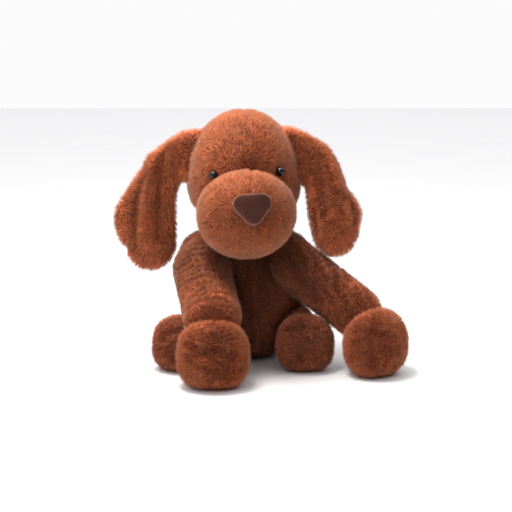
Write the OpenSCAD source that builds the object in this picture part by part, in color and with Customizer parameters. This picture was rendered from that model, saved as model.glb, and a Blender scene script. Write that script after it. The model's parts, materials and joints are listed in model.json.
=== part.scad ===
// Seated plush dog: long-pile fabric skins over loose polyester filling.
// Millimetres, +Z up, the dog faces -Y. The origin is the middle of the seat,
// on the surface that the dog sits on.
// Every limb ends in a ball of filling that turns in a round pocket in its
// neighbour, so the seams bend without the solids meeting.

/* [Body] */
// Radius of the rounded seat
seat_r = 52; // [48:1:54]
// Height of the centre of the seat
seat_z = 48.5; // [46:0.5:50]
// Radius of each shoulder
shoulder_r = 26; // [22:1:28]
// Height of the centre of the shoulders
shoulder_z = 101; // [96:1:102]
// Distance of a shoulder from the middle of the chest
shoulder_x = 40; // [36:1:42]

/* [Head] */
// Width of the head, which is round from above
head_w = 106; // [100:1:108]
// Height of the head
head_h = 122; // [114:1:123]
// Width of the muzzle
muzzle_w = 93; // [84:1:98]
// Height and depth of the muzzle, which is round from the side
muzzle_d = 84; // [78:1:86]
// Turn of the face towards +X, degrees
head_turn = 5; // [0:1:8]
// Roll of the face, the +X side higher, degrees
head_roll = 3; // [0:1:5]
// Radius of the neck ball
neck_r = 26; // [22:1:29]

/* [Face] */
// Diameter of an eye bead
eye_d = 9; // [7:0.5:10]
// Diameter of the shank behind an eye bead
shank_d = 3; // [2.5:0.1:3.5]
// Width of the nose pad
nose_w = 34; // [28:1:38]
// Height of the nose pad
nose_h = 27; // [22:1:30]

/* [Ears] */
// Thickness of an ear where it is fullest
ear_t = 24; // [18:1:26]
// Thickness of the flat end sewn into the head
ear_root_t = 11; // [8:1:12]
// Radius of the flat end sewn into the head
ear_root_r = 18; // [14:1:19]

/* [Legs] */
// Radius of a front leg at the shoulder
front_leg_r = 25; // [21:1:25]
// Radius of a front leg at the wrist
wrist_r = 22; // [19:1:22]
// Radius of a rear leg at the hip
rear_leg_r = 23; // [20:1:24]
// Radius of a rear leg at the ankle
ankle_r = 20; // [17:1:21]
// Width and height of a front paw
paw_d = 66; // [58:1:67]
// Length of a front paw
paw_len = 58; // [50:1:62]
// Width and height of a rear foot
foot_d = 56; // [50:1:57]
// Length of a rear foot
foot_len = 48; // [44:1:52]

/* [Making] */
// Thickness of a fabric skin with its flattened pile
skin_t = 3; // [2:0.5:4]
// Gap between two bodies that move on each other
joint_gap = 0.5; // [0.3:0.1:0.8]
// Gap between a skin and the filling inside it
fill_gap = 0.2; // [0.1:0.1:0.4]

/* [Hidden] */

// "left" and "right" are as seen from in front: left is -X.
pile_brown = [0.52, 0.26, 0.15];
pile_light = [0.60, 0.32, 0.19];
pile_dark = [0.40, 0.19, 0.11];
filling_white = [0.93, 0.92, 0.88];

// Centres of the balls at the joints
neck_c = [-6, -2, 121];
shoulder_c = [[-52, -33, 93], [42, -32, 96]];
wrist_c = [[-36, -98, 59], [100, -57, 55]];
hip_c = [[-42, -6, 33], [38, -9, 33]];
ankle_c = [[-58, -36, 28], [47, -38, 29]];
tail_c = [2, 51, 28];
tail_tip = [14, 82, 38];

// Centres of the padded shapes, and the way that paws and feet point
chest_c = [-7, -9];
head_c = [-8, -8, 184];
muzzle_c = [-5, -65, 151];
paw_c = [[-35, -120, 30], [117, -77, 30]];
paw_yaw = [0, 50];
foot_c = [[-68, -63, 25.5], [51, -64, 26.5]];
foot_yaw = [-14, 4];
pouch_c = [-2, 13, 20];

// Ears: the pivot of each sewn end, then centre and radius of the flat rounds
// that the outline is drawn over
ear_pivot = [[-61, -7, 208], [43.5, -7, 209]];
ear_rounds = [
    [[-82, -6, 196, 17], [-99, -5, 162, 26], [-106, -4, 138, 33], [-102, -4, 113, 27]],
    [[65, -10, 197, 17], [73, -21, 167, 22], [80, -31, 146, 27], [80, -39, 128, 22]],
];

// Forward lean of each ear, top to tip
ear_lean = [0, -16];

// Nose: its centre, its tilt back, the radius of its corners, how far it stands
// out of the muzzle and how far it runs back into the pile
nose_c = [1, -108, 160.5];
nose_tilt = 15;
nose_corner_r = 8;
nose_puff = 5;
nose_back = 10;
nose_cloth_t = 1.2;

// Eyes: the place and turn of each, how far the middle of its bead stands out of
// that place, its shank, and the washer locked on it
eye_c = [[-35, -51.5, 186], [26, -47.5, 189]];
eye_yaw = [-28, 36];
eye_out = 2;
shank_len = 12;
washer_d = 13;
washer_t = 1.6;
washer_at = 5.5;

// The round that the muzzle is sewn against, just outside the head
muzzle_seat_c = [-8, -9, 178];
muzzle_seat_r = 54.8;

// Tail, and how far a limb swells between its two ends
tail_r = 13;
tail_tip_r = 9;
limb_belly = 0.5;

// Each leg's pocket in the body is a row of round ones that runs out along the
// leg. Legs and tail have room to swing. An ear grows thicker from its root, so
// its pocket is roomy too.
pocket_steps = [0, 0.2, 0.4];
leg_room = 1;
leg_spread = 6;
hip_spread = 8;
tail_room = 1.1;
ear_pocket_room = 4;

// How far the filling's shoulders are drawn in, clear of the legs' pockets
shoulder_tuck = 14;

// Pouch of pellets in the seat
pouch_d = 30;
pouch_h = 26;
pouch_t = 1;

// Closing stitches: how many, where the first one is and the step to the next in
// degrees round the seat, their length and the thread
stitch_count = 8;
stitch_first = 12;
stitch_step = 3.6;
stitch_len = 6;
thread_r = 0.6;

// Roundness of balls and of blended shapes, and the step along an oval, degrees
ball_fn = 96;
blend_fn = 24;
oval_step = 7.5;
far = 400;

// ---------- helpers ----------

// An egg that is d across and len long, turned about Z, smaller by inset
module egg(d, len, inset = 0) {
    half_d = d / 2 - inset;
    half_len = len / 2 - inset;
    rotate_extrude($fn = ball_fn)
        polygon([for (a = [-90 : oval_step : 90]) [half_d * cos(a), half_len * sin(a)]]);
}

module ball(c, r) {
    translate(c) sphere(r = r, $fn = ball_fn);
}

// Everything above the surface that the dog sits on
module above_floor(lift = 0) {
    intersection() {
        children();
        translate([-far, -far, lift]) cube([2 * far, 2 * far, far]);
    }
}

// Turns +Z to run from p towards q, starting at p
module along(p, q) {
    d = q - p;
    translate(p) rotate([0, acos(d[2] / norm(d)), atan2(d[1], d[0])]) children();
}

// Half outline of a limb: a ball of r0 at 0, a belly, and a ball of r1 at len
function limb_outline(len, r0, r1, belly) = concat(
    [[0, -r0]],
    [for (a = [-75 : 15 : -15]) [r0 * cos(a), r0 * sin(a)]],
    [for (i = [0 : 6]) let (t = i / 6) [r0 + (r1 - r0) * t + belly * sin(180 * t), len * t]],
    [for (a = [15 : 15 : 75]) [r1 * cos(a), len + r1 * sin(a)]],
    [[0, len + r1]]
);

module limb(p, q, r0, r1, belly, inset = 0) {
    along(p, q)
        rotate_extrude($fn = ball_fn)
            polygon(limb_outline(norm(q - p), r0 - inset, r1 - inset, belly));
}

// ---------- solid forms, each smaller by inset all round ----------

// tuck draws the shoulders in towards the chest, for the filling
module torso_form(inset = 0, tuck = 0) {
    hull() {
        translate([0, 0, seat_z]) sphere(r = seat_r - inset, $fn = blend_fn);
        for (side = [-1, 1])
            translate([chest_c[0] + side * (shoulder_x - tuck), chest_c[1], shoulder_z])
                sphere(r = shoulder_r - inset, $fn = blend_fn);
    }
}

// The place part of the way from p to q
function between(p, q, t) = p + t * (q - p);

module torso_pockets(extra) {
    room = extra + leg_room;
    ball(neck_c, neck_r + extra);
    ball(tail_c, tail_r + extra + tail_room);
    for (s = [0, 1], t = pocket_steps) {
        ball(between(shoulder_c[s], wrist_c[s], t), front_leg_r + room + leg_spread * t);
        ball(between(hip_c[s], ankle_c[s], 2 * t), rear_leg_r + room + hip_spread * t);
    }
}

module head_form(inset = 0) {
    translate(head_c) rotate([0, -head_roll, head_turn]) egg(head_w, head_h, inset);
}

module muzzle_form(inset = 0) {
    translate(muzzle_c) rotate([0, 90 - head_roll, head_turn]) egg(muzzle_d, muzzle_w, inset);
}

module paw_form(s, inset = 0) {
    translate(paw_c[s]) rotate([90, 0, paw_yaw[s]]) egg(paw_d, paw_len, inset);
}

module foot_form(s, inset = 0) {
    translate(foot_c[s]) rotate([90, 0, foot_yaw[s]]) egg(foot_d, foot_len, inset);
}

// ---------- body ----------

module body_skin() {
    color(pile_brown)
        difference() {
            above_floor() torso_form();
            torso_pockets(joint_gap);
            difference() {
                above_floor(skin_t) torso_form(skin_t);
                torso_pockets(joint_gap + skin_t);
            }
        }
}

module body_stuffing() {
    color(filling_white)
        difference() {
            above_floor(skin_t + fill_gap) torso_form(skin_t + fill_gap, shoulder_tuck);
            torso_pockets(joint_gap + skin_t + fill_gap);
            translate(pouch_c) egg(pouch_d, pouch_h, -fill_gap);
        }
}

module pellet_pouch() {
    color("white")
        translate(pouch_c) difference() {
            egg(pouch_d, pouch_h);
            egg(pouch_d, pouch_h, pouch_t);
        }
}

module pellets() {
    color("ivory")
        translate(pouch_c) egg(pouch_d, pouch_h, pouch_t + fill_gap);
}

// Ladder stitches that close the back, as short straight threads on the seat's
// round, each turned to a steeper place on it than the last
module back_closing_stitches() {
    color("saddlebrown")
        for (i = [0 : stitch_count - 1])
            translate([0, 0, seat_z]) rotate([stitch_first + i * stitch_step, 0, 0])
                translate([0, seat_r + thread_r, 0]) rotate([0, 90, 0])
                    cylinder(r = thread_r, h = stitch_len, center = true, $fn = 24);
}

// ---------- tail ----------

module tail_form(inset = 0) {
    limb(tail_c, tail_tip, tail_r, tail_tip_r, 0, inset);
}

module tail_skin() {
    color(pile_brown) difference() {
        tail_form();
        tail_form(skin_t);
    }
}

module tail_stuffing() {
    color(filling_white) tail_form(skin_t + fill_gap);
}

// ---------- neck ----------

module neck_skin() {
    color(pile_dark) difference() {
        ball(neck_c, neck_r);
        ball(neck_c, neck_r - skin_t);
    }
}

module neck_stuffing() {
    color(filling_white) ball(neck_c, neck_r - skin_t - fill_gap);
}

// ---------- head ----------

module neck_pocket(extra) {
    ball(neck_c, neck_r + joint_gap + extra);
}

module head_skin() {
    color(pile_light)
        difference() {
            head_form();
            neck_pocket(0);
            ear_pockets(joint_gap);
            difference() {
                head_form(skin_t);
                neck_pocket(skin_t);
                ear_pockets(joint_gap + skin_t);
            }
            for (s = [0, 1]) eye_hole(s);
        }
}

module head_stuffing() {
    color(filling_white)
        difference() {
            head_form(skin_t + fill_gap);
            neck_pocket(skin_t + fill_gap);
            ear_pockets(joint_gap + skin_t + fill_gap);
            for (s = [0, 1]) washer_pocket(s);
        }
}

module muzzle_skin() {
    color(pile_light)
        difference() {
            muzzle_form();
            ball(muzzle_seat_c, muzzle_seat_r);
            difference() {
                muzzle_form(skin_t);
                ball(muzzle_seat_c, muzzle_seat_r + skin_t);
            }
        }
}

module muzzle_stuffing() {
    color(filling_white)
        difference() {
            muzzle_form(skin_t + fill_gap);
            ball(muzzle_seat_c, muzzle_seat_r + skin_t + fill_gap);
        }
}

// ---------- nose ----------

// Triangle with rounded corners, point down, drawn in X and Y
module nose_outline(inset = 0) {
    w = nose_w / 2 - nose_corner_r;
    h = nose_h / 2 - nose_corner_r;
    hull() {
        for (x = [-w, w]) translate([x, h]) circle(r = nose_corner_r - inset, $fn = 40);
        translate([0, -h]) circle(r = nose_corner_r - inset, $fn = 40);
    }
}

module nose_prism(inset, from, to) {
    translate(nose_c) rotate([90 - nose_tilt, -head_roll, head_turn])
        translate([0, 0, from]) linear_extrude(to - from) nose_outline(inset);
}

module nose_cover() {
    color([0.25, 0.14, 0.11])
        difference() {
            nose_prism(0, -nose_back, nose_puff);
            nose_prism(nose_cloth_t, -nose_back - 1, nose_puff - nose_cloth_t);
            muzzle_form(-fill_gap);
        }
}

module nose_padding() {
    color(filling_white)
        nose_prism(nose_cloth_t + fill_gap, 2 * fill_gap, nose_puff - nose_cloth_t - fill_gap);
}

// ---------- eyes ----------

// Points +Z out of the face at the eye
module at_eye(s) {
    translate(eye_c[s]) rotate([90, 0, eye_yaw[s]]) children();
}

// The round that a bead presses into the pile, and the hole for its shank
module eye_hole(s) {
    at_eye(s) translate([0, 0, eye_out]) sphere(d = eye_d + 2 * fill_gap, $fn = ball_fn);
    at_eye(s) translate([0, 0, -shank_len]) cylinder(d = shank_d + fill_gap, h = shank_len, $fn = 32);
}

module washer_pocket(s) {
    at_eye(s) translate([0, 0, -shank_len - 1]) cylinder(d = washer_d + 1, h = far, $fn = 48);
}

module eye(s) {
    color([0.03, 0.03, 0.03])
        at_eye(s) union() {
            translate([0, 0, eye_out]) sphere(d = eye_d, $fn = ball_fn);
            translate([0, 0, -shank_len]) cylinder(d = shank_d, h = shank_len + eye_out, $fn = 32);
        }
}

module eye_washer(s) {
    color("gainsboro")
        at_eye(s) translate([0, 0, -washer_at - washer_t]) difference() {
            cylinder(d = washer_d, h = washer_t, $fn = 48);
            translate([0, 0, -1]) cylinder(d = shank_d + 0.1, h = washer_t + 2, $fn = 32);
        }
}

// ---------- ears ----------

// A flat round lying in X and Z, with domed faces: b is its centre and radius
module flat_round(b, t, inset) {
    translate([b[0], b[1], b[2]]) scale([b[3] - inset, t / 2 - inset, b[3] - inset])
        sphere(r = 1, $fn = blend_fn);
}

// The flat end of an ear, round about its pivot, larger by extra all round
module ear_root_disc(s, extra, fn) {
    translate(ear_pivot[s]) rotate([90, 0, 0])
        cylinder(r = ear_root_r + extra, h = ear_root_t + 2 * extra, center = true, $fn = fn);
}

module ear_pockets(extra) {
    for (s = [0, 1]) ear_root_disc(s, extra + ear_pocket_room, ball_fn);
}

module ear_form(s, inset = 0) {
    rounds = ear_rounds[s];
    hull() {
        ear_root_disc(s, -inset, blend_fn);
        flat_round(rounds[0], ear_t, inset);
    }
    hull() for (i = [0, 1]) flat_round(rounds[i], ear_t, inset);
    hull() for (i = [1 : 3]) flat_round(rounds[i], ear_t, inset);
}

// One fabric layer of an ear; the two layers meet in the middle of its edge
module ear_layer(s, front) {
    difference() {
        ear_form(s);
        ear_form(s, skin_t);
        translate(ear_pivot[s]) rotate([ear_lean[s], 0, 0])
            translate([-far, front ? 0 : -far, -far]) cube([2 * far, far, 2 * far]);
    }
}

module ear_filling(s) {
    color(filling_white) ear_form(s, skin_t + fill_gap);
}

// ---------- front legs ----------

module front_leg_form(s, inset = 0) {
    limb(shoulder_c[s], wrist_c[s], front_leg_r, wrist_r, limb_belly, inset);
}

module front_leg_skin(s) {
    color(pile_brown) difference() {
        front_leg_form(s);
        front_leg_form(s, skin_t);
    }
}

module front_leg_stuffing(s) {
    color(filling_white) front_leg_form(s, skin_t + fill_gap);
}

// Where the wrist's ball turns in the paw, turned with the paw
module wrist_pocket(s, extra) {
    translate(wrist_c[s]) rotate([0, 0, paw_yaw[s]]) ball([0, 0, 0], wrist_r + joint_gap + extra);
}

module front_paw_skin(s) {
    color(pile_brown)
        difference() {
            above_floor() paw_form(s);
            wrist_pocket(s, 0);
            difference() {
                above_floor(skin_t) paw_form(s, skin_t);
                wrist_pocket(s, skin_t);
            }
        }
}

module front_paw_stuffing(s) {
    color(filling_white)
        difference() {
            above_floor(skin_t + fill_gap) paw_form(s, skin_t + fill_gap);
            wrist_pocket(s, skin_t + fill_gap);
        }
}

// ---------- rear legs ----------

module rear_leg_form(s, inset = 0) {
    limb(hip_c[s], ankle_c[s], rear_leg_r, ankle_r, limb_belly, inset);
}

module rear_leg_skin(s) {
    color(pile_dark) difference() {
        rear_leg_form(s);
        rear_leg_form(s, skin_t);
    }
}

module rear_leg_stuffing(s) {
    color(filling_white) rear_leg_form(s, skin_t + fill_gap);
}

module rear_foot_skin(s) {
    color(pile_dark)
        difference() {
            above_floor() foot_form(s);
            ball(ankle_c[s], ankle_r + joint_gap);
            difference() {
                above_floor(skin_t) foot_form(s, skin_t);
                ball(ankle_c[s], ankle_r + joint_gap + skin_t);
            }
        }
}

module rear_foot_stuffing(s) {
    color(filling_white)
        difference() {
            above_floor(skin_t + fill_gap) foot_form(s, skin_t + fill_gap);
            ball(ankle_c[s], ankle_r + joint_gap + skin_t + fill_gap);
        }
}

// ---------- nodes ----------

body_skin();
body_stuffing();
pellet_pouch();
pellets();
back_closing_stitches();
tail_skin();
tail_stuffing();
neck_skin();
neck_stuffing();
head_skin();
head_stuffing();
muzzle_skin();
muzzle_stuffing();
nose_cover();
nose_padding();
eye(0);  // eye_left
eye(1);  // eye_right
eye_washer(0);  // eye_washer_left
eye_washer(1);  // eye_washer_right
color(pile_light) ear_layer(0, true);  // ear_left_front
color(pile_brown) ear_layer(0, false);  // ear_left_back
ear_filling(0);  // ear_left_filling
color(pile_light) ear_layer(1, true);  // ear_right_front
color(pile_brown) ear_layer(1, false);  // ear_right_back
ear_filling(1);  // ear_right_filling
front_leg_skin(0);  // front_leg_left_skin
front_leg_stuffing(0);  // front_leg_left_stuffing
front_leg_skin(1);  // front_leg_right_skin
front_leg_stuffing(1);  // front_leg_right_stuffing
front_paw_skin(0);  // front_paw_left_skin
front_paw_stuffing(0);  // front_paw_left_stuffing
front_paw_skin(1);  // front_paw_right_skin
front_paw_stuffing(1);  // front_paw_right_stuffing
rear_leg_skin(0);  // rear_leg_left_skin
rear_leg_stuffing(0);  // rear_leg_left_stuffing
rear_leg_skin(1);  // rear_leg_right_skin
rear_leg_stuffing(1);  // rear_leg_right_stuffing
rear_foot_skin(0);  // rear_foot_left_skin
rear_foot_stuffing(0);  // rear_foot_left_stuffing
rear_foot_skin(1);  // rear_foot_right_skin
rear_foot_stuffing(1);  // rear_foot_right_stuffing
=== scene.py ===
import json
import math
import bmesh
import bpy
import numpy as np
from mathutils import Matrix, Vector
from mathutils.bvhtree import BVHTree
from mathutils.kdtree import KDTree


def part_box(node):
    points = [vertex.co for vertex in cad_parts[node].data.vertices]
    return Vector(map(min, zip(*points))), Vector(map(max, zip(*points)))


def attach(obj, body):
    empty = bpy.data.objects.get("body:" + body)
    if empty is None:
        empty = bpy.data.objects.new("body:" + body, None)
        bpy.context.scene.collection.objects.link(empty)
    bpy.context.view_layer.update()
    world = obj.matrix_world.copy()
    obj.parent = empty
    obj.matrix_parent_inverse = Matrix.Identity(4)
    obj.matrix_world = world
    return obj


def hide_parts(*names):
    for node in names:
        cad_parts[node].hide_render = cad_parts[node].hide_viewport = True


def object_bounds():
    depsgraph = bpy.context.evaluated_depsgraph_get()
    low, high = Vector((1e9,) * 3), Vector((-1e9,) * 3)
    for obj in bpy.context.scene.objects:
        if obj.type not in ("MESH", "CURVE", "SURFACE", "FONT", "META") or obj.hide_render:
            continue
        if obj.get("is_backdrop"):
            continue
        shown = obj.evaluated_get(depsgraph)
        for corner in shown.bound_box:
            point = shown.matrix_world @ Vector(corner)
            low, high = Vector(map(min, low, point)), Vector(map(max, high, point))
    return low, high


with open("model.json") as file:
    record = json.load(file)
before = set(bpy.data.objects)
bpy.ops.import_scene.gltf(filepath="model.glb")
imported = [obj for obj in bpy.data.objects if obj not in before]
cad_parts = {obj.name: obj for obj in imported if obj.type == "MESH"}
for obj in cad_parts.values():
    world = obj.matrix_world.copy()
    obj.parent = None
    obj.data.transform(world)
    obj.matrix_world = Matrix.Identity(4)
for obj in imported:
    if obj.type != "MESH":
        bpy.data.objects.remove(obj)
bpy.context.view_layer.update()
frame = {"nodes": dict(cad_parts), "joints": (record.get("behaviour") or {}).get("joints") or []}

# Seated plush dog. Every padded part is a fabric form over its CAD solid, which a
# cloth simulation puffs out by at most 1.6 mm and code then draws in along the
# seams. A coat of separate tufts of pile grows out of it.
# Lengths are in metres; MM turns millimetres into them.
MM = 0.001
SEED = 7

SIDES = ("left", "right")


# ---------- small helpers ----------

def millimetres(*values):
    return np.array(values, float) * MM


def unit(vectors):
    lengths = np.linalg.norm(vectors, axis=-1, keepdims=True)
    return vectors / np.maximum(lengths, 1e-9)


def joint(name):
    """Where a joint's pivot is, as an array."""
    return np.array(next(j["pos_m"] for j in frame["joints"] if j["name"] == name))


def new_object(name, mesh):
    piece = bpy.data.objects.new(name, mesh)
    bpy.context.scene.collection.objects.link(piece)
    return piece


def set_material(piece, material):
    piece.data.materials.clear()
    piece.data.materials.append(material)


def box_corners(node):
    """The low and the high corner of a CAD node's box, as arrays."""
    return [np.array(corner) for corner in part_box(node)]


def mesh_from_bmesh(name, bm):
    mesh = bpy.data.meshes.new(name)
    bm.to_mesh(mesh)
    bm.free()
    return mesh


def get_points(piece):
    """The vertices of a piece or a CAD node, as an array."""
    points = np.empty(len(piece.data.vertices) * 3, np.float32)
    piece.data.vertices.foreach_get("co", points)
    return points.reshape(-1, 3).astype(float)


def set_points(piece, points):
    piece.data.vertices.foreach_set("co", points.astype(np.float32).ravel())
    piece.data.update()


def get_normals(piece):
    normals = np.empty(len(piece.data.vertices) * 3, np.float32)
    piece.data.vertex_normals.foreach_get("vector", normals)
    return normals.reshape(-1, 3).astype(float)


def bake_modifiers(piece):
    """Replaces the piece's mesh by what its modifiers make of it."""
    graph = bpy.context.evaluated_depsgraph_get()
    made = bpy.data.meshes.new_from_object(piece.evaluated_get(graph))
    old = piece.data
    piece.modifiers.clear()
    piece.data = made
    bpy.data.meshes.remove(old)
    return piece


def smooth_all(piece):
    piece.data.polygons.foreach_set("use_smooth", [True] * len(piece.data.polygons))


# ---------- materials ----------

def principled(name):
    material = bpy.data.materials.new(name)
    material.use_nodes = True
    return material, material.node_tree, material.node_tree.nodes["Principled BSDF"]


def shade(colour, factor):
    return tuple(min(1.0, c * factor) for c in colour) + (1.0,)


def fabric_material(name, colour, grain=900.0, patch=45.0, depth=0.35):
    """Knitted backing under the pile: patchy colour, fine loops as bump."""
    material, tree, surface = principled(name)
    place = tree.nodes.new("ShaderNodeTexCoord")
    patches = tree.nodes.new("ShaderNodeTexNoise")
    patches.inputs["Scale"].default_value = patch
    patches.inputs["Detail"].default_value = 4.0
    ramp = tree.nodes.new("ShaderNodeValToRGB")
    ramp.color_ramp.elements[0].position = 0.3
    ramp.color_ramp.elements[0].color = shade(colour, 0.62)
    ramp.color_ramp.elements[1].position = 0.72
    ramp.color_ramp.elements[1].color = shade(colour, 1.15)
    loops = tree.nodes.new("ShaderNodeTexVoronoi")
    loops.inputs["Scale"].default_value = grain
    bump = tree.nodes.new("ShaderNodeBump")
    bump.inputs["Strength"].default_value = depth
    bump.inputs["Distance"].default_value = 0.4 * MM
    tree.links.new(place.outputs["Object"], patches.inputs["Vector"])
    tree.links.new(place.outputs["Object"], loops.inputs["Vector"])
    tree.links.new(patches.outputs["Fac"], ramp.inputs["Fac"])
    tree.links.new(ramp.outputs["Color"], surface.inputs["Base Color"])
    tree.links.new(loops.outputs["Distance"], bump.inputs["Height"])
    tree.links.new(bump.outputs["Normal"], surface.inputs["Normal"])
    surface.inputs["Roughness"].default_value = 0.9
    surface.inputs["Specular IOR Level"].default_value = 0.15
    return material


TIP_SHEEN = (1.0, 0.78, 0.64, 1.0)


def tuft_materials(name, colour, tones, rough=0.7, sheen=0.32):
    """One plain fibre material for each tone, dark to light."""
    made = []
    for number, tone in enumerate(tones):
        material, _, surface = principled(f"{name}_{number}")
        surface.inputs["Base Color"].default_value = shade(colour, tone)
        surface.inputs["Roughness"].default_value = rough
        surface.inputs["Specular IOR Level"].default_value = 0.3
        surface.inputs["Sheen Weight"].default_value = sheen
        surface.inputs["Sheen Roughness"].default_value = 0.45
        surface.inputs["Sheen Tint"].default_value = TIP_SHEEN
        made.append(material)
    return made


def plastic_material(name, colour, rough, mottle):
    """Moulded plastic: a little mottling in its gloss and a faint orange peel."""
    material, tree, surface = principled(name)
    place = tree.nodes.new("ShaderNodeTexCoord")
    noise = tree.nodes.new("ShaderNodeTexNoise")
    noise.inputs["Scale"].default_value = 400.0
    spread = tree.nodes.new("ShaderNodeMapRange")
    spread.inputs["To Min"].default_value = rough
    spread.inputs["To Max"].default_value = rough + mottle
    tint = tree.nodes.new("ShaderNodeValToRGB")
    tint.color_ramp.elements[0].color = shade(colour, 0.85)
    tint.color_ramp.elements[1].color = shade(colour, 1.1)
    bump = tree.nodes.new("ShaderNodeBump")
    bump.inputs["Strength"].default_value = 0.05
    bump.inputs["Distance"].default_value = 0.05 * MM
    tree.links.new(place.outputs["Object"], noise.inputs["Vector"])
    tree.links.new(noise.outputs["Fac"], spread.inputs["Value"])
    tree.links.new(noise.outputs["Fac"], tint.inputs["Fac"])
    tree.links.new(noise.outputs["Fac"], bump.inputs["Height"])
    tree.links.new(spread.outputs["Result"], surface.inputs["Roughness"])
    tree.links.new(tint.outputs["Color"], surface.inputs["Base Color"])
    tree.links.new(bump.outputs["Normal"], surface.inputs["Normal"])
    return material


def floor_material():
    """Pale matt paper with a barely visible mottling."""
    material, tree, surface = principled("floor_paper")
    place = tree.nodes.new("ShaderNodeTexCoord")
    noise = tree.nodes.new("ShaderNodeTexNoise")
    noise.inputs["Scale"].default_value = 6.0
    ramp = tree.nodes.new("ShaderNodeValToRGB")
    ramp.color_ramp.elements[0].color = (0.86, 0.86, 0.87, 1.0)
    ramp.color_ramp.elements[1].color = (0.9, 0.9, 0.9, 1.0)
    tree.links.new(place.outputs["Object"], noise.inputs["Vector"])
    tree.links.new(noise.outputs["Fac"], ramp.inputs["Fac"])
    tree.links.new(ramp.outputs["Color"], surface.inputs["Base Color"])
    surface.inputs["Roughness"].default_value = 0.85
    return material


# Fibre colours, as linear light, by the record's material slots. They differ to
# imitate how light and shade fall on the dog: its fabric may well be one colour.
COATS = {
    "head_pile": (0.58, 0.165, 0.062),
    "ear_pile": (0.76, 0.225, 0.090),
    "body_pile": (0.36, 0.095, 0.036),
    "limb_pile": (0.49, 0.132, 0.049),
    "rear_limb_pile": (0.46, 0.132, 0.056),
}
TONES = (0.48, 0.72, 0.95, 1.18, 1.45)
BACKING_SHADE = 0.38     # the backing is this much of the pile's colour
NOSE_COLOUR = (0.17, 0.062, 0.043)


# ---------- fabric forms ----------

def keep_largest(bm):
    """Drops every loose part but the one with the most vertices."""
    bm.verts.ensure_lookup_table()
    left = set(bm.verts)
    parts = []
    while left:
        part, stack = [], [left.pop()]
        while stack:
            vert = stack.pop()
            part.append(vert)
            for edge in vert.link_edges:
                other = edge.other_vert(vert)
                if other in left:
                    left.discard(other)
                    stack.append(other)
        parts.append(part)
    parts.sort(key=len)
    bmesh.ops.delete(bm, geom=[v for part in parts[:-1] for v in part], context="VERTS")


def smooth_form(piece, rounds):
    """Evens out a form, which also shrinks it a little."""
    bm = bmesh.new()
    bm.from_mesh(piece.data)
    for _ in range(rounds):
        bmesh.ops.smooth_vert(bm, verts=bm.verts, factor=0.5,
                              use_axis_x=True, use_axis_y=True, use_axis_z=True)
    bm.to_mesh(piece.data)
    bm.free()


def remeshed(piece, voxel):
    remesh = piece.modifiers.new("remesh", "REMESH")
    remesh.mode = "VOXEL"
    remesh.voxel_size = voxel
    bake_modifiers(piece)
    bm = bmesh.new()
    bm.from_mesh(piece.data)
    keep_largest(bm)
    bm.to_mesh(piece.data)
    bm.free()
    return piece


def add_balls(bm, balls):
    """Adds balls, each a centre and a radius in metres."""
    for centre, radius in balls:
        bmesh.ops.create_icosphere(bm, subdivisions=3, radius=radius,
                                   matrix=Matrix.Translation(Vector(centre)))


def hull_form(name, nodes, voxel, balls=()):
    """The closed form round some CAD nodes and balls, with their pockets filled."""
    bm = bmesh.new()
    for node in nodes:
        bm.from_mesh(frame["nodes"][node].data)
    add_balls(bm, balls)
    hull = bmesh.ops.convex_hull(bm, input=bm.verts)
    unused = set(hull["geom_interior"]) | set(hull["geom_unused"])
    bmesh.ops.delete(bm, geom=[g for g in unused if isinstance(g, bmesh.types.BMVert)],
                     context="VERTS")
    kept = {g for g in hull["geom"] if isinstance(g, bmesh.types.BMFace)}
    bmesh.ops.delete(bm, geom=[f for f in bm.faces if f not in kept], context="FACES")
    return remeshed(new_object(name, mesh_from_bmesh(name, bm)), voxel)


def layered_form(name, nodes, voxel, balls=()):
    """The closed form round some CAD nodes and balls, with their hollows kept."""
    bm = bmesh.new()
    for node in nodes:
        bm.from_mesh(frame["nodes"][node].data)
    bmesh.ops.remove_doubles(bm, verts=bm.verts, dist=1e-6)
    add_balls(bm, balls)
    return remeshed(new_object(name, mesh_from_bmesh(name, bm)), voxel)


def widen(piece, start, end, more):
    """Moves a limb's fabric out from its line: by nothing at start and by more at end."""
    points = get_points(piece)
    line = end - start
    share = ((points - start) @ line) / (line @ line)
    out = unit(points - start - share[:, None] * line)
    set_points(piece, points + out * (more * np.clip(share, 0, 1) ** 2)[:, None])


def square_off(piece, centre, across, low_corners, high_corners):
    """Fills out the four corners that a round form shows from the front. across is level
    and points to its side."""
    points = get_points(piece)
    offset = points - centre
    side, up = offset @ across, offset[:, 2]
    turn = np.arctan2(up, side)
    amount = np.sin(2 * turn) ** 2 * np.where(up < 0, low_corners, high_corners)
    out = unit(side[:, None] * across + up[:, None] * np.array((0, 0, 1.0)))
    reach = np.hypot(side, up) / np.hypot(side, up).max()
    set_points(piece, points + out * (amount * reach)[:, None])


def shrink(piece, distance):
    set_points(piece, get_points(piece) - get_normals(piece) * distance)


FLOOR_GAP = 0.3 * MM     # nothing soft comes lower than this


def flatten_on_floor(points):
    points[:, 2] = np.maximum(points[:, 2], FLOOR_GAP)
    return points


SIM_FRAMES = 20
CLOTH = {"quality": 5, "mass": 0.2, "tension_stiffness": 12, "compression_stiffness": 12,
         "shear_stiffness": 6, "bending_stiffness": 0.3, "use_pressure": True,
         "uniform_pressure_force": 4.0, "shrink_min": -0.03}


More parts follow.
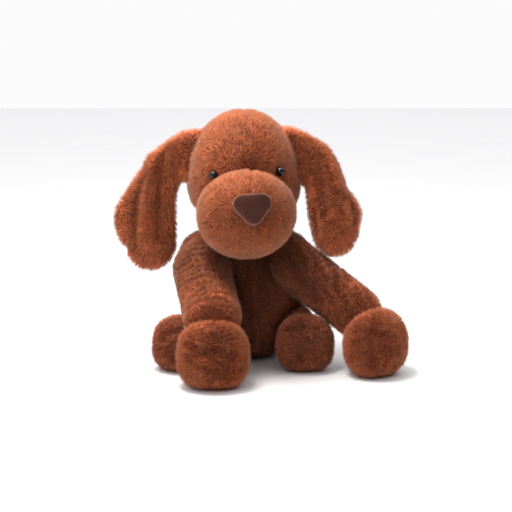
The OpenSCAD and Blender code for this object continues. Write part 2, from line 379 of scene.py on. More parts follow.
def puff_up(pieces, caps):
    """Cloth simulation of the fabric, filled under pressure. No point moves further than
    its piece's cap."""
    scene = bpy.context.scene
    starts = {}
    for piece in pieces:
        starts[piece.name] = get_points(piece)
        cloth = piece.modifiers.new("cloth", "CLOTH")
        for name, value in CLOTH.items():
            setattr(cloth.settings, name, value)
        cloth.settings.effector_weights.gravity = 0.0
        cloth.point_cache.frame_end = SIM_FRAMES
    for step in range(1, SIM_FRAMES + 1):
        scene.frame_set(step)
    for piece in pieces:
        bake_modifiers(piece)
        start = starts[piece.name]
        move = get_points(piece) - start
        distance = np.linalg.norm(move, axis=1, keepdims=True)
        cap = caps[piece.name]
        move *= np.minimum(1.0, cap / np.maximum(distance, 1e-9))
        set_points(piece, start + move)
    scene.frame_set(1)


def subdivided(piece):
    modifier = piece.modifiers.new("finer", "SUBSURF")
    modifier.levels = 1
    modifier.render_levels = 1
    return bake_modifiers(piece)


def tree_of(piece):
    bm = bmesh.new()
    bm.from_mesh(piece.data)
    tree = BVHTree.FromBMesh(bm)
    bm.free()
    return tree


# ---------- seams ----------

def on_surface(tree, path, towards, steps=40):
    """Points along a rough path in millimetres, dropped on to a surface. towards is the
    direction that they drop in, or None for the nearest place."""
    path = np.asarray(path, float) * MM
    spans = np.linspace(0, len(path) - 1, steps)
    made = []
    for span in spans:
        k = min(int(span), len(path) - 2)
        point = Vector(path[k] + (path[k + 1] - path[k]) * (span - k))
        if towards is None:
            hit = tree.find_nearest(point)[0]
        else:
            way = Vector(towards)
            hit = tree.ray_cast(point - way * 0.3, way)[0] or tree.find_nearest(point)[0]
        made.append(hit)
    return np.array(made)


def ring(tree, centre, axis, radius, steps):
    """Where rays from a form's centre, square to axis, leave it. One that misses ends at
    radius."""
    axis = Vector(axis).normalized()
    across = axis.orthogonal().normalized()
    up = axis.cross(across)
    made = []
    for k in range(steps + 1):
        turn = 2 * math.pi * k / steps
        way = across * math.cos(turn) + up * math.sin(turn)
        hit = tree.ray_cast(Vector(centre), way)[0]
        made.append(hit or Vector(centre) + way * radius)
    return np.array(made)


def distance_to(points, line):
    """How far each point is from a line of closely spaced points."""
    tree = KDTree(len(line))
    for number, place in enumerate(line):
        tree.insert(place, number)
    tree.balance()
    found = [tree.find(p) for p in points]
    return np.array([f[2] for f in found]), np.array([f[0] for f in found])


class Seam:
    """A sewn line or fold. depth is how deep the fabric is drawn in, negative for a ridge,
    and width how far that spreads, both in millimetres. trim is how much shorter the pile
    is there."""

    def __init__(self, line, depth, width, trim=0.5):
        self.line, self.trim = line, trim
        self.depth, self.width = depth * MM, width * MM


def draw_in(piece, seams):
    """Draws the fabric in along its seams and raises it along its folds."""
    points, normals = get_points(piece), get_normals(piece)
    for seam in seams:
        distance, _ = distance_to(points, seam.line)
        points = points - normals * (seam.depth * np.exp(-(distance / seam.width) ** 2))[:, None]
    set_points(piece, points)


# ---------- pile ----------

def swirl(points, size, seed):
    """A smooth random direction at each point, changing over about size."""
    rng = np.random.default_rng(seed)
    total = np.zeros_like(points)
    for octave in range(3):
        waves = rng.normal(size=(3, 3)) * (2 * math.pi / (size * (1.0, 0.6, 0.35)[octave]))
        phases = rng.uniform(0, 2 * math.pi, 3)
        total += np.sin(points @ waves.T + phases) * (1.0, 0.6, 0.4)[octave]
    return total


class Form:
    """A closed form to test places against."""

    def __init__(self, piece):
        points = get_points(piece)
        self.tree, self.low, self.high = tree_of(piece), points.min(0), points.max(0)

    def holds(self, points, margin):
        """Which points are inside, or within margin outside."""
        near = ((points > self.low - margin) & (points < self.high + margin)).all(1)
        made = np.zeros(len(points), bool)
        for number in np.flatnonzero(near):
            place, normal, _, _ = self.tree.find_nearest(Vector(points[number]))
            made[number] = (Vector(points[number]) - place).dot(normal) < margin
        return made


SIDES_OF_TUFT = 3
MOST_TUFTS = 49500       # 4 triangles each; a coat that needs more is thinner than it asks
COVERED = 1.0            # tufts rooted deeper than this in a neighbour are left out
ROOT_DEPTH = 0.8         # how far a tuft starts below the fabric
SWIRL_WEIGHT = 0.75      # how strongly the pile strays from the way it is brushed
SEAM_SPREAD = 0.35       # how strongly it leans away from a seam
# Painted shade: the pile down in a seam is darker, most of all in a seam this deep
DEEP_SEAM = 2.5          # a seam this deep is as dark as any

# Where between dark and light a tuft's tone is, from 0 to the number of TONES
MIDDLE_TONE = 2.1
CLUMP_TONE = 0.6
PATCH_TONE = 0.35
PATCH_SIZE = 22
TUFT_TONE = 0.75
# how many tones darker the pile is made down in a seam, as painted shade
PAINTED_SEAM_SHADE = 2.2


def scatter(piece, count, rng):
    """Random places on a mesh, evenly by area, with the mesh's normals there."""
    mesh = piece.data
    mesh.calc_loop_triangles()
    corners = np.empty(len(mesh.loop_triangles) * 3, np.int32)
    mesh.loop_triangles.foreach_get("vertices", corners)
    corners = corners.reshape(-1, 3)
    points, normals = get_points(piece), get_normals(piece)
    a, b, c = (points[corners[:, k]] for k in range(3))
    area = np.linalg.norm(np.cross(b - a, c - a), axis=1) / 2
    chosen = rng.choice(len(corners), size=count, p=area / area.sum())
    u, v = rng.random(count), rng.random(count)
    over = u + v > 1
    u[over], v[over] = 1 - u[over], 1 - v[over]
    weights = np.stack([1 - u - v, u, v], 1)[:, :, None]
    place = (points[corners[chosen]] * weights).sum(1)
    normal = unit((normals[corners[chosen]] * weights).sum(1))
    return place, normal, area.sum()


def clumped(root, tip, spacing, strength, rng):
    """Draws the tips of neighbouring tufts together."""
    count = max(8, int(len(root) * spacing))
    heads = rng.choice(len(root), size=count, replace=False)
    tree = KDTree(count)
    for number, head in enumerate(heads):
        tree.insert(root[head], number)
    tree.balance()
    nearest = heads[np.array([tree.find(p)[1] for p in root])]
    shift = (tip[nearest] - tip) * strength[:, None]
    return tip + shift, nearest


def tuft_mesh(name, root, tip, width, tone, materials):
    """One closed slender spike for each tuft."""
    count = len(root)
    along = unit(tip - root)
    level = np.abs(along[:, 2:]) < 0.9
    across = unit(np.cross(along, np.where(level, [[0.0, 0.0, 1.0]], [[1.0, 0.0, 0.0]])))
    up = np.cross(along, across)
    corners = []
    for k in range(SIDES_OF_TUFT):
        turn = 2 * math.pi * k / SIDES_OF_TUFT
        corners.append(root + (across * math.cos(turn) + up * math.sin(turn)) * width[:, None])
    points = np.stack(corners + [tip], 1).reshape(-1, 3)
    flatten_on_floor(points)
    first = np.arange(count)[:, None] * (SIDES_OF_TUFT + 1)
    faces = np.array([[0, 1, 3], [1, 2, 3], [2, 0, 3], [2, 1, 0]])
    loops = (first[:, :, None] + faces[None]).reshape(-1)
    mesh = bpy.data.meshes.new(name)
    mesh.vertices.add(len(points))
    mesh.vertices.foreach_set("co", points.astype(np.float32).ravel())
    mesh.loops.add(len(loops))
    mesh.loops.foreach_set("vertex_index", loops.astype(np.int32))
    mesh.polygons.add(len(loops) // 3)
    mesh.polygons.foreach_set("loop_start", np.arange(0, len(loops), 3, dtype=np.int32))
    mesh.polygons.foreach_set("material_index", np.repeat(tone, len(faces)).astype(np.int32))
    for material in materials:
        mesh.materials.append(material)
    mesh.update(calc_edges=True)
    piece = new_object(name, mesh)
    smooth_all(piece)
    return piece


def grow_pile(fabric, coat, flow, materials, seams=(), hidden_by=(), layer=0):
    """A coat of tufts on a fabric form. coat holds the density a square millimetre, the
    length and width in millimetres, the size of the swirls (curl), how far the tufts lie
    over, how loose they are and how strongly they clump. flow gives the way they are
    brushed. The piece's name seeds the random draws."""
    name = fabric.name.replace("_fabric", "_pile") + ("_under" if layer else "")
    seed = SEED + sum(ord(letter) for letter in name)
    rng = np.random.default_rng(seed)
    thin = 1.0
    _, _, area = scatter(fabric, 10, np.random.default_rng(1))
    count = int(area / MM ** 2 * coat["density"] * thin)
    place, normal, _ = scatter(fabric, count, rng)
    shown = np.ones(count, bool)
    for form in hidden_by:
        shown &= ~form.holds(place, -COVERED * MM)
    place, normal = place[shown], normal[shown]
    count = min(len(place), MOST_TUFTS)
    place, normal = place[:count], normal[:count]

    length = coat["length"] * MM * rng.uniform(0.72, 1.18, count)
    lean = flow(place, normal)
    lean = lean - normal * (lean * normal).sum(1, keepdims=True)
    lean = unit(lean + SWIRL_WEIGHT * unit(swirl(place, coat["curl"] * MM, seed)))
    lean = lean - normal * (lean * normal).sum(1, keepdims=True)
    lay = coat["lay"] * rng.uniform(0.6, 1.3, count)[:, None]
    way = normal + lean * lay + rng.normal(size=(count, 3)) * coat["loose"]
    painted_seam_shade = np.zeros(count)
    for seam in seams:
        distance, nearest = distance_to(place, seam.line)
        near = np.exp(-(distance / (0.8 * seam.width)) ** 2)
        length *= 1 - seam.trim * near
        if seam.depth > 0:
            way += unit(place - nearest) * (SEAM_SPREAD * near)[:, None]
            painted_seam_shade = np.maximum(painted_seam_shade, near * min(1.0, seam.depth / (DEEP_SEAM * MM)))
    root = place - normal * ROOT_DEPTH * MM
    tip = place + unit(way) * length[:, None]
    strength = coat["clump"] * rng.uniform(0.5, 1.0, count)
    tip, head = clumped(root, tip, coat["clump_share"], strength, rng)
    wider = 1.0
    width = coat["width"] * MM * rng.uniform(0.75, 1.2, count) * wider

    # Tone: each clump has its own, each tuft strays a little from it, and it is
    # darker down in a seam as painted shade. A coat's own tone adds painted shade
    # towards the front legs' shoulders and painted light on the front paws
    clump_tone = rng.normal(0, 0.8, count)[head]
    patch = swirl(place, PATCH_SIZE * MM, seed + 1)[:, 0] * PATCH_TONE
    tone = (MIDDLE_TONE + clump_tone * CLUMP_TONE + patch + rng.normal(0, TUFT_TONE, count)
            - PAINTED_SEAM_SHADE * painted_seam_shade + coat["tone"](place))
    tone = np.clip(np.round(tone), 0, len(TONES) - 1)
    return tuft_mesh(name, root, tip, width, tone, materials)


# ---------- the padded parts ----------

# How each part's form is made, with which voxel in millimetres, the body that it
# rides on, the slot of its finish and the CAD nodes that it is made over
PARTS = {
    "head": ("hull", 4.0, "head", "head_pile", ("head_skin", "head_stuffing")),
    "muzzle": ("hull", 4.0, "head", "head_pile", ("muzzle_skin", "muzzle_stuffing")),
    "neck": ("hull", 4.0, "neck", "body_pile", ("neck_skin", "neck_stuffing")),
    "body": ("hull", 4.0, "body", "body_pile", ("body_skin", "body_stuffing")),
    "tail": ("hull", 3.0, "tail", "body_pile", ("tail_skin", "tail_stuffing")),
}
for side in SIDES:
    PARTS[f"ear_{side}"] = ("layers", 3.0, f"ear_{side}", "ear_pile",
                            (f"ear_{side}_front", f"ear_{side}_back", f"ear_{side}_filling"))
    for limb, coat_slot in (("front_leg", "limb_pile"), ("front_paw", "limb_pile"),
                            ("rear_leg", "rear_limb_pile"), ("rear_foot", "rear_limb_pile")):
        part = f"{limb}_{side}"
        PARTS[part] = ("hull", 4.0, part, coat_slot, (f"{part}_skin", f"{part}_stuffing"))

# How much smaller the fabric starts than its CAD skin, which leaves room for the
# pile, and how far the simulation may puff it out again, in millimetres
FABRIC_INSET = 3.2
PUFF = 1.6
EAR_PUFF = 1.2
POUCH_INSET = 0.8
POUCH_PUFF = 0.6

# Rounds of smoothing
SMOOTHING = {"head": 6, "muzzle": 6, "body": 10}
USUAL_SMOOTHING = 5

shoulder = {side: joint(f"front_leg_{side}_lift") for side in SIDES}
wrist = {side: joint(f"front_paw_{side}_flex") for side in SIDES}
hip = {side: joint(f"rear_leg_{side}_swing") for side in SIDES}
ankle = {side: joint(f"rear_foot_{side}_flex") for side in SIDES}
ear_root = {side: joint(f"ear_{side}_lift") for side in SIDES}

# Rounds that fill out a part where it is sewn to its neighbour
FILLERS = {
    "ear_left": [(ear_root["left"] + millimetres(10, 0, 6), 13 * MM),
                 (ear_root["left"] + millimetres(2, -2, -22), 13 * MM)],
    "ear_right": [(ear_root["right"] + millimetres(-8, 0, 8), 13 * MM),
                  (ear_root["right"] + millimetres(2, -4, -24), 13 * MM)],
    "front_leg_left": [(shoulder["left"] + millimetres(8, 17, 11), 22 * MM)],
    "front_leg_right": [(shoulder["right"] + millimetres(-9, 17, 8), 22 * MM)],
}

fabrics = {}
for part, (method, voxel, _, _, nodes) in PARTS.items():
    make = hull_form if method == "hull" else layered_form
    fabrics[part] = make(f"{part}_fabric", nodes, voxel * MM, FILLERS.get(part, ()))
    smooth_form(fabrics[part], SMOOTHING.get(part, USUAL_SMOOTHING))
    shrink(fabrics[part], FABRIC_INSET * MM)

# Millimetres by which a leg widens towards its wrist, and by which the low and the
# high corners of paws and feet fill out
WRIST_MORE = {"left": 5.0, "right": 3.0}
CORNERS = (("front_paw", wrist, 2.8, 1.2), ("rear_foot", ankle, 3.6, 1.5))
for side in SIDES:
    widen(fabrics[f"front_leg_{side}"], shoulder[side], wrist[side], WRIST_MORE[side] * MM)
    for limb, pivots, low_corners, high_corners in CORNERS:
        piece = fabrics[f"{limb}_{side}"]
        points = get_points(piece)
        centre = (points.max(0) + points.min(0)) / 2
        ahead = unit((centre - pivots[side]) * np.array((1, 1, 0)))
        across = np.cross(ahead, (0, 0, 1.0))
        square_off(piece, centre, across, low_corners * MM, high_corners * MM)

pouch = remeshed(hull_form("pellet_pouch_cloth", ["pellet_pouch"], 2.0 * MM), 2.0 * MM)
shrink(pouch, POUCH_INSET * MM)

caps = {piece.name: (EAR_PUFF if part.startswith("ear") else PUFF) * MM
        for part, piece in fabrics.items()}
caps[pouch.name] = POUCH_PUFF * MM
puff_up([*fabrics.values(), pouch], caps)
for piece in fabrics.values():
    subdivided(piece)
    set_points(piece, flatten_on_floor(get_points(piece)))


# ---------- seams and folds ----------

FRONT = (0, 1, 0)
surface = {part: tree_of(piece) for part, piece in fabrics.items()}
nose_low, nose_high = box_corners("nose_cover")
nose_middle = (nose_low + nose_high) / 2

# The pile down in each seam that is drawn in is darkened as painted shade
seams = {part: [] for part in PARTS}


def sew(part, path, towards, depth, width, trim, steps=40):
    """Adds a seam along a path in millimetres, dropped on to the part's fabric."""
    seams[part].append(Seam(on_surface(surface[part], path, towards, steps), depth, width, trim))


# The muzzle's middle seam above and below the nose, the head's from brow to nape,
# and the body's down the chest and down the back
sew("muzzle", [(0.5, -60, 200), (0.5, -104, 180), (1, -112, 172)], None, 2.6, 2, 0.6)
sew("muzzle", [(1, -112, 149), (0, -105, 128), (-2, -80, 112)], None, 1.8, 2.2, 0.5)
sew("head", [(-4, -55, 222), (-8, -8, 246), (-12, 45, 215), (-12, 46, 160)], None, 0.9, 2.5, 0.25,
    steps=80)
sew("body", [(-2, -38, 112), (0, -60, 60), (0, -45, 25)], FRONT, 1.2, 3, 0.3)
sew("body", [(0, 40, 100), (0, 60, 60), (0, 50, 22)], None, 1.2, 3, 0.4)

# Ears: a soft ridge down the front of each, a dip on either side of it and a notch
# or slit
sew("ear_left", [(-97, -40, 196), (-102, -40, 161), (-104, -40, 118)], FRONT, -3.5, 7, 0.0)
sew("ear_left", [(-102, -40, 184), (-111, -40, 158), (-114, -40, 120)], FRONT, 5.5, 5, 0.3)
sew("ear_left", [(-84, -40, 202), (-91, -40, 165), (-93, -40, 128)], FRONT, 4.5, 5, 0.2)
sew("ear_left", [(-126, -40, 106), (-121, -40, 112)], FRONT, 2.2, 5, 0.4)
sew("ear_right", [(74, -60, 192), (80, -60, 170), (86, -60, 146)], FRONT, -3.5, 7, 0.0)
sew("ear_right", [(64, -60, 198), (69, -60, 172), (73, -60, 148)], FRONT, 4.0, 5, 0.2)
sew("ear_right", [(86, -60, 182), (94, -60, 160), (97, -60, 140)], FRONT, 3.0, 5, 0.15)
sew("ear_right", [(60.6, -60, 153), (63.5, -60, 127)], FRONT, 5.5, 3.4, 0.6)

# The crease over the toes of the left front paw, and a soft fold over each rear foot
sew("front_paw_left", [(-55, -160, 33), (-33, -160, 41), (-22, -160, 35)], FRONT, 3.0, 3.8, 0.5)
for side in SIDES:
    top = ankle[side] / MM + np.array((0, -30, 17))
    sew(f"rear_foot_{side}", [top + (-14, 0, -5), top, top + (13, 0, -3)], FRONT, 2.2, 3.5, 0.4)

# Cheeks: broad soft swellings round a place
for place in ((-62, -10, 160), (46, -12, 160)):
    seams["head"].append(Seam(np.repeat([millimetres(*place)], 2, axis=0), -4.0, 22, 0.0))


# ---------- how each part is brushed ----------

def towards(way):
    return lambda points, normals: np.broadcast_to(np.array(way, float), points.shape)


def away_from(centre, droop=0.0):
    return lambda points, normals: unit(points - centre) + np.array((0, 0, -droop))


FLOWS = {
    "head": away_from(nose_middle, 0.2),
    "muzzle": away_from(nose_middle, 0.25),
    "neck": towards((0, -0.3, -1)),
    "body": towards((0, -0.1, -1)),
    "tail": towards((0.35, 0.85, 0.2)),
}
for side in SIDES:
    FLOWS[f"ear_{side}"] = away_from(ear_root[side], 0.5)
    FLOWS[f"front_leg_{side}"] = towards(wrist[side] - shoulder[side])
    FLOWS[f"front_paw_{side}"] = away_from(wrist[side])
    FLOWS[f"rear_leg_{side}"] = towards(ankle[side] - hip[side])
    FLOWS[f"rear_foot_{side}"] = away_from(ankle[side])

BASE_COAT = {"density": 2.4, "length": 5.0, "width": 0.25, "curl": 24, "lay": 0.6, "loose": 0.16,
             "clump": 0.4, "clump_share": 1 / 8, "layers": 1, "tone": lambda places: 0.0}
COAT_CHANGES = {
    "head": {"density": 1.25, "layers": 2},
    "muzzle": {"length": 4.6, "density": 1.5, "layers": 2},
    "body": {"density": 1.2, "layers": 2},
    "ear": {"length": 6.2, "loose": 0.2, "clump": 0.5, "density": 2.8},
    # The front paws' pile is a little lighter: painted light, as their fronts catch the light
    "front_paw": {"length": 5.4, "tone": lambda places: 0.45},
}


def darker_shoulder(side):
    """A tone for a front leg's pile that falls towards the shoulder. It imitates the shade
    of the head and ear there, and isn't a marking of the fabric."""
    line = wrist[side] - shoulder[side]

    def shift(places):
        share = np.clip((places - shoulder[side]) @ line / (line @ line), 0, 1)
        return 0.1 - 2.3 * (1 - share)

    return shift


for side in SIDES:
    COAT_CHANGES[f"front_leg_{side}"] = {"tone": darker_shoulder(side)}
coat_materials = {name: tuft_materials(name, colour, TONES) for name, colour in COATS.items()}
backing_materials = {name: fabric_material(f"{name}_backing", [c * BACKING_SHADE for c in colour])
                     for name, colour in COATS.items()}

# Parts that a part's own pile can be hidden in
NEIGHBOURS = {
    "head": ["muzzle", "neck"],
    "muzzle": ["head"],
    "neck": ["head", "body"],
    "body": ["front_leg_left", "front_leg_right", "rear_leg_left", "rear_leg_right", "neck", "tail"],
    "tail": ["body"],
}
for side in SIDES:
    NEIGHBOURS[f"ear_{side}"] = ["head"]
    NEIGHBOURS[f"front_leg_{side}"] = ["body", f"front_paw_{side}"]
    NEIGHBOURS[f"front_paw_{side}"] = [f"front_leg_{side}"]
    NEIGHBOURS[f"rear_leg_{side}"] = ["body", f"rear_foot_{side}"]
    NEIGHBOURS[f"rear_foot_{side}"] = [f"rear_leg_{side}"]

# The beads sit in shallow dents, with the pile short round them and darker in the dents as painted
# shade
eye_places = {}
for side in SIDES:
    low, high = box_corners(f"eye_washer_{side}")
    bead = get_points(frame["nodes"][f"eye_{side}"]).mean(0)
    facing = unit(bead - (low + high) / 2)
    eye_places[side] = (bead, facing)
    dent = np.repeat([bead - facing * 2 * MM], 2, axis=0)
    seams["head"].append(Seam(dent, 1.0, 5.5, 0.6))
    seams["muzzle"].append(Seam(dent, 0.6, 4, 0.35))
seams["muzzle"].append(Seam(np.repeat([nose_middle], 2, axis=0), 0.0, 12, 0.35))

for part, piece in fabrics.items():
    draw_in(piece, [seam for seam in seams[part] if seam.depth])
    smooth_all(piece)
forms = {part: Form(piece) for part, piece in fabrics.items()}

piles = {}
for part, (_, _, body, coat_slot, nodes) in PARTS.items():
    coat = dict(BASE_COAT)
    for start, changes in COAT_CHANGES.items():
        if part.startswith(start):
            coat.update(changes)
    piece = fabrics[part]
    set_material(piece, backing_materials[coat_slot])
    hidden_by = [forms[other] for other in NEIGHBOURS[part]]
    piles[part] = [grow_pile(piece, coat, FLOWS[part], coat_materials[coat_slot], seams[part],
                             hidden_by, layer) for layer in range(coat["layers"])]
    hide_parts(*nodes)
    for made in (piece, *piles[part]):
        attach(made, body)


# ---------- nose ----------

NOSE_TURN = 5            # degrees that the nose faces to the side and upwards
NOSE_TILT = 15
NOSE_SMOOTHING = 14
NOSE_BULGE = 2.0         # how far its middle stands out, and how wide it is
NOSE_RADIUS = 15
NOSE_EDGE = 3.2          # where its stitched edge is, in front of its middle
NOSE_THREAD = 0.75
STITCHES = 46
STITCH_SWELL = (0.45, 1.0, 1.1, 0.9)

nose_turn, nose_tilt = math.radians(NOSE_TURN), math.radians(NOSE_TILT)
nose_facing = unit(np.array((math.sin(nose_turn) * math.cos(nose_tilt),
                             -math.cos(nose_turn) * math.cos(nose_tilt),
                             math.sin(nose_tilt))))


def nose_form():
    """The puffed pad of the nose, from its cover."""
    piece = hull_form("nose_pad", ["nose_cover"], 1.0 * MM)
    smooth_form(piece, NOSE_SMOOTHING)
    points = get_points(piece)
    offset = points - nose_middle
    depth = offset @ nose_facing
    aside = np.linalg.norm(offset - depth[:, None] * nose_facing, axis=1)
    bulge = (np.clip(1 - (aside / (NOSE_RADIUS * MM)) ** 2, 0, 1)
             * np.clip(depth / (2 * MM), 0, 1))
    set_points(piece, points + nose_facing * (NOSE_BULGE * MM * bulge)[:, None])
    return subdivided(piece)


nose = nose_form()
nose_velour = tuft_materials("nose_velour", NOSE_COLOUR, (0.7, 0.9, 1.1, 1.3, 1.6), 0.6, 0.5)
set_material(nose, fabric_material("nose_backing", [c * 0.6 for c in NOSE_COLOUR], 1500.0))
nose_coat = {"density": 5.0, "length": 1.3, "width": 0.2, "curl": 9, "lay": 0.5, "loose": 0.25,
             "clump": 0.3, "clump_share": 1 / 6, "tone": lambda places: 0.0}
smooth_all(nose)
nose_pile = grow_pile(nose, nose_coat, towards((0, 0, -1)), nose_velour,
                      hidden_by=[forms["muzzle"]])
nose_pile.name = "nose_velour_pile"


def thread_curve(name, radius):
    """An empty curve that is as thick as a thread."""
    curve = bpy.data.curves.new(name, "CURVE")
    curve.dimensions = "3D"
    curve.bevel_depth = radius * MM
    curve.bevel_resolution = 3
    return curve


def nose_stitches():
    """Whip stitches over the edge of the nose: a thread that swells at each stitch."""
    front = nose_middle + nose_facing * NOSE_EDGE * MM
    edge = ring(tree_of(nose), front, nose_facing, NOSE_RADIUS * MM,
                STITCHES * len(STITCH_SWELL))[:-1]
    curve = thread_curve("nose_stitches", NOSE_THREAD)
    spline = curve.splines.new("POLY")
    spline.points.add(len(edge) - 1)
    spline.use_cyclic_u = True
    for k, place in enumerate(edge):
        spline.points[k].co = (*place, 1)
        spline.points[k].radius = STITCH_SWELL[k % len(STITCH_SWELL)]
    return new_object("nose_stitches", curve)


stitches = nose_stitches()
set_material(stitches, fabric_material("nose_thread", (0.36, 0.15, 0.10), 2500.0, 300.0, 0.6))
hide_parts("nose_cover", "nose_padding")
for made in (nose, nose_pile, stitches):
    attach(made, "head")


# ---------- eyes ----------

BEAD_RADIUS = 4.5
DOME_POINTS = 24
TURNS = 64               # corners round each ring of an eye


def lathe(name, profile, place, facing):
    """Turns a half outline of (radius, height) pairs, in millimetres, about the way that an
    eye faces."""
    bm = bmesh.new()
    rings = []
    for radius, height in profile:
        if radius < 1e-6:
            rings.append([bm.verts.new((0, 0, height * MM))])
            continue
        rings.append([bm.verts.new((radius * MM * math.cos(2 * math.pi * k / TURNS),
                                    radius * MM * math.sin(2 * math.pi * k / TURNS),
                                    height * MM)) for k in range(TURNS)])
    for low, high in zip(rings, rings[1:]):
        for k in range(TURNS):
            corners = [low[k % len(low)], low[(k + 1) % len(low)],
                       high[(k + 1) % len(high)], high[k % len(high)]]
            unique = [v for i, v in enumerate(corners) if v not in corners[:i]]
            bm.faces.new(unique)
    bmesh.ops.recalc_face_normals(bm, faces=bm.faces)
    spin = Vector((0, 0, 1)).rotation_difference(Vector(facing)).to_matrix().to_4x4()
    bm.transform(Matrix.Translation(Vector(place)) @ spin)
    piece = new_object(name, mesh_from_bmesh(name, bm))
    smooth_all(piece)
    return piece


def eye_profile():
    """A domed bead with a narrow rim, a flat back and a ribbed shank."""
    dome = [(BEAD_RADIUS * math.cos(a), BEAD_RADIUS * math.sin(a))
            for a in np.linspace(math.radians(-35), math.pi / 2, DOME_POINTS)]
    shank = [(0, -13.8), (1.2, -13.8), (1.5, -13.2)]
    for rib in range(8):
        height = -12.6 + rib * 1.2
        shank += [(1.5, height - 0.25), (1.28, height), (1.28, height + 0.35), (1.5, height + 0.6)]
    return shank + [(1.5, -2.9), (3.2, -2.9)] + dome[:-1] + [(0, BEAD_RADIUS)]


bead_material = plastic_material("black_bead", (0.004, 0.004, 0.005), 0.06, 0.04)
for side in SIDES:
    place, facing = eye_places[side]
    eye = lathe(f"eye_bead_{side}", eye_profile(), place, facing)
    set_material(eye, bead_material)
    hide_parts(f"eye_{side}")
    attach(eye, "head")
    set_material(frame["nodes"][f"eye_washer_{side}"],
                 plastic_material(f"white_plastic_{side}", (0.72, 0.72, 0.70), 0.45, 0.15))


# ---------- pouch, pellets and closing stitches ----------

set_material(pouch, fabric_material("pouch_cloth", (0.78, 0.78, 0.76), 1400.0, 60.0, 0.5))
smooth_all(pouch)
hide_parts("pellet_pouch")
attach(pouch, "body")

PELLET_RADIUS = 1.5
PELLETS = 150
MOST_TRIALS = 60000      # places tried for them


def pellet_heap():
    """Loose beads that fill the pouch without meeting its cloth."""
    low, high = box_corners("pellets")
    middle, half = (low + high) / 2, (high - low) / 2 - PELLET_RADIUS * MM
    rng = np.random.default_rng(SEED)
    places = []
    for _ in range(MOST_TRIALS):
        trial = rng.uniform(-1, 1, 3)
        if (trial ** 2).sum() > 1:
            continue
        place = middle + trial * half
        if all(np.linalg.norm(place - other) > 2 * PELLET_RADIUS * MM for other in places):
            places.append(place)
        if len(places) == PELLETS:
            break
    bm = bmesh.new()
    for place in places:
        bmesh.ops.create_icosphere(bm, subdivisions=2, radius=PELLET_RADIUS * MM,
                                   matrix=Matrix.Translation(Vector(place)))
    piece = new_object("pellet_beads", mesh_from_bmesh("pellet_beads", bm))
    smooth_all(piece)
    return piece


heap = pellet_heap()
set_material(heap, plastic_material("pellet_plastic", (0.75, 0.74, 0.66), 0.35, 0.1))
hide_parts("pellets")
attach(heap, "body")

THREAD = 0.6
LOOPS = 8
LOOP_POINTS = 7
LOOP_WIDTH = 7           # each loop's width, how much it slants, and its arch
LOOP_SLANT = 1.2
LOOP_ARCH = 2.4
LOOP_SUNK = 0.9          # how deep its ends are in the fabric


def thread_loops():
    """Ladder stitches: an arched loop of thread over each of the CAD's stitches."""
    points = get_points(frame["nodes"]["back_closing_stitches"])
    order = np.argsort(points[:, 2])
    curve = thread_curve("closing_thread", THREAD)
    for group in np.array_split(points[order], LOOPS):
        middle = group.mean(0)
        out = unit(middle - np.array((0, 0, middle[2])))
        middle = np.array(surface["body"].find_nearest(Vector(middle))[0])
        spline = curve.splines.new("NURBS")
        spline.points.add(LOOP_POINTS - 1)
        for k in range(LOOP_POINTS):
            share = k / (LOOP_POINTS - 1) - 0.5
            along = np.array((share * LOOP_WIDTH * MM, 0, share * LOOP_SLANT * MM))
            arch = math.cos(share * math.pi) * LOOP_ARCH - LOOP_SUNK
            spline.points[k].co = (*(middle + along + out * arch * MM), 1)
        spline.use_endpoint_u = True
    return new_object("closing_thread", curve)


thread = thread_loops()
set_material(thread, fabric_material("closing_thread", (0.22, 0.075, 0.035),
                                     2500.0, 300.0, 0.6))
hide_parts("back_closing_stitches")
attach(thread, "body")


# ---------- floor, light and camera ----------

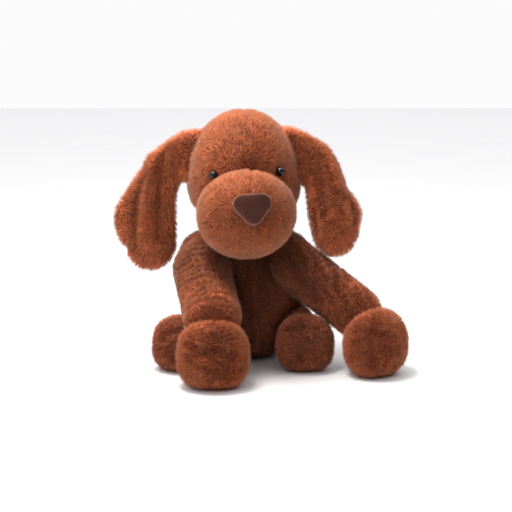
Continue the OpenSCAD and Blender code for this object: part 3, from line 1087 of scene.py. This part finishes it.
HALF_FLOOR = 6.0
TARGET = (0, -0.03, 0.12)        # what the nearer lamps point at
BRIGHT_SIDE = (-0.1, 0.62, 0.78)
DIM_SKY = (0.10, 0.10, 0.105, 1)
BRIGHT_SKY = (0.97, 0.97, 0.98, 1)
LENS = 77.34
SENSOR = 36.0
CAMERA_PLACE = (0.004, -1.0863, 0.2910)
CAMERA_TILT = 80                 # degrees up from straight down

bm = bmesh.new()
bmesh.ops.create_grid(bm, x_segments=1, y_segments=1, size=HALF_FLOOR)
floor = new_object("floor", mesh_from_bmesh("floor", bm))
set_material(floor, floor_material())
floor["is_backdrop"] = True


def area_light(name, place, target, size, power, colour=(1, 1, 1)):
    data = bpy.data.lights.new(name, "AREA")
    data.shape = "SQUARE"
    data.size = size
    data.energy = power
    data.color = colour
    lamp = new_object(name, data)
    lamp.location = place
    lamp.rotation_euler = (Vector(target) - Vector(place)).to_track_quat("-Z", "Y").to_euler()


area_light("key", (-0.26, -0.16, 1.25), TARGET, size=0.42, power=13.0, colour=(1.0, 0.98, 0.95))
area_light("front", (-0.55, -0.95, 0.75), TARGET, size=0.6, power=3.0)
area_light("overhead", (0.0, 3.2, 3.0), (0, 3.2, 0), size=9.0, power=90.0)

# The studio is bright behind and above the dog and dim in front of it
world = bpy.data.worlds.new("studio")
bpy.context.scene.world = world
world.use_nodes = True
sky = world.node_tree
background = sky.nodes["Background"]
outward = sky.nodes.new("ShaderNodeTexCoord")
aim = sky.nodes.new("ShaderNodeVectorMath")
aim.operation = "DOT_PRODUCT"
aim.inputs[1].default_value = BRIGHT_SIDE
glow = sky.nodes.new("ShaderNodeValToRGB")
glow.color_ramp.elements[0].position = 0.0
glow.color_ramp.elements[0].color = DIM_SKY
glow.color_ramp.elements[1].position = 0.5
glow.color_ramp.elements[1].color = BRIGHT_SKY
sky.links.new(outward.outputs["Generated"], aim.inputs[0])
sky.links.new(aim.outputs["Value"], glow.inputs["Fac"])
sky.links.new(glow.outputs["Color"], background.inputs["Color"])
background.inputs["Strength"].default_value = 1.0

scene = bpy.context.scene
scene.view_settings.view_transform = "Standard"
camera_data = bpy.data.cameras.new("camera")
camera_data.lens = LENS
camera_data.sensor_width = SENSOR
camera = new_object("camera", camera_data)
camera.location = CAMERA_PLACE
camera.rotation_euler = (math.radians(CAMERA_TILT), 0, 0)
scene.camera = camera

low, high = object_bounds()
